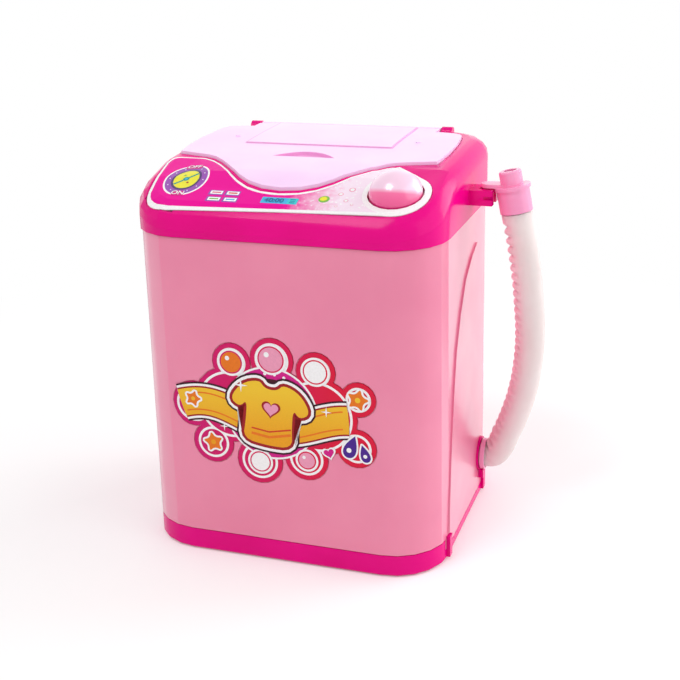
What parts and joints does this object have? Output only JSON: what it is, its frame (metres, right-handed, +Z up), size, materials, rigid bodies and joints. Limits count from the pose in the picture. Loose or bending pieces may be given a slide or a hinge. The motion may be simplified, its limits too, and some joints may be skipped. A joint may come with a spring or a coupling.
{
  "type": "toy washing machine",
  "caption": "Toy top-loading washing machine with a hinged lid, domed power button, tub with pulsator, battery base and a ribbed drain hose clipped to a side fork.",
  "frame": {"origin": "middle of the body's footprint, on the surface it stands on", "axes": "+X to the machine's right-hand side as seen from the front, -Y to the front, +Z up"},
  "size_m": [0.1381, 0.0956, 0.142],
  "materials": {
    "hot_pink": "glossy hot pink moulding",
    "mid_pink": "satin mid pink moulding",
    "pale_pink": "satin very pale pink moulding",
    "light_pink": "glossy light pink moulding",
    "clear_hose": "translucent blow-moulded polyethylene",
    "sticker": "glossy printed film",
    "steel": "zinc-plated steel",
    "brass": "plated spring brass",
    "cell_sleeve": "plain shrink sleeve",
    "rubber": "soft black rubber",
    "black_plastic": "black moulded plastic",
    "red_wire": "red wire insulation",
    "white_plastic": "natural white plastic"
  },
  "bodies": {
    "machine": {"base_tray": "hot_pink", "base_screw_1": "steel", "base_screw_2": "steel", "base_screw_3": "steel", "base_screw_4": "steel", "outer_casing": "mid_pink", "front_sticker": "sticker", "top_frame": "hot_pink", "panel_sticker": "sticker", "button_spring": "steel", "switch_holder": "white_plastic", "switch_holder_screw_1": "steel", "switch_holder_screw_2": "steel", "switch_body": "black_plastic", "wash_tub": "white_plastic", "tub_screw_1": "steel", "tub_screw_2": "steel", "tub_screw_3": "steel", "tub_screw_4": "steel", "motor_can": "steel", "motor_end_cap": "white_plastic", "shaft_seal": "rubber", "motor_cradle": "white_plastic", "cradle_screw_1": "steel", "cradle_screw_2": "steel", "drain_elbow": "white_plastic", "drain_outlet": "hot_pink", "hose_ring": "light_pink", "battery_cell_1": "cell_sleeve", "battery_cell_2": "cell_sleeve", "battery_contact_plus": "brass", "battery_contact_minus": "brass", "battery_contact_bridge": "brass", "switch_feed_wire": "red_wire", "motor_feed_wire": "red_wire", "motor_return_wire": "black_plastic"},
    "lid": {"lid": "pale_pink"},
    "button": {"power_button": "light_pink", "switch_plunger": "white_plastic"},
    "agitator": {"pulsator": "mid_pink", "motor_shaft": "steel"},
    "hose": {"drain_hose": "clear_hose", "hose_end_fitting": "light_pink"},
    "battery_cover": {"battery_door": "hot_pink", "battery_door_screw": "steel"}
  },
  "joints": [
    {"name": "lid_hinge", "type": "hinge", "parent": "machine", "child": "lid", "pos_m": [-0.002, 0.0434, 0.13956], "axis": [-1, 0, 0], "range_deg": [0, 100]},
    {"name": "button_press", "type": "slide", "parent": "machine", "child": "button", "axis": [0, 0.3486, -0.9373], "range_m": [0, 0.002], "stiffness_N_per_m": 250, "springref_m": -0.0015, "deforming": ["button_spring"]},
    {"name": "pulsator_spin", "type": "hinge", "parent": "machine", "child": "agitator", "pos_m": [0, 0.008, 0.042], "axis": [0, 0, 1], "continuous": true},
    {"name": "hose_swing", "type": "hinge", "parent": "machine", "child": "hose", "pos_m": [0.0602, 0.0208, 0.0192], "axis": [0, 1, 0], "range_deg": [0, 85], "deforming": ["drain_hose"]},
    {"name": "battery_cover_drop", "type": "slide", "parent": "machine", "child": "battery_cover", "axis": [0, 0, -1], "range_m": [0, 0.03]}
  ]
}
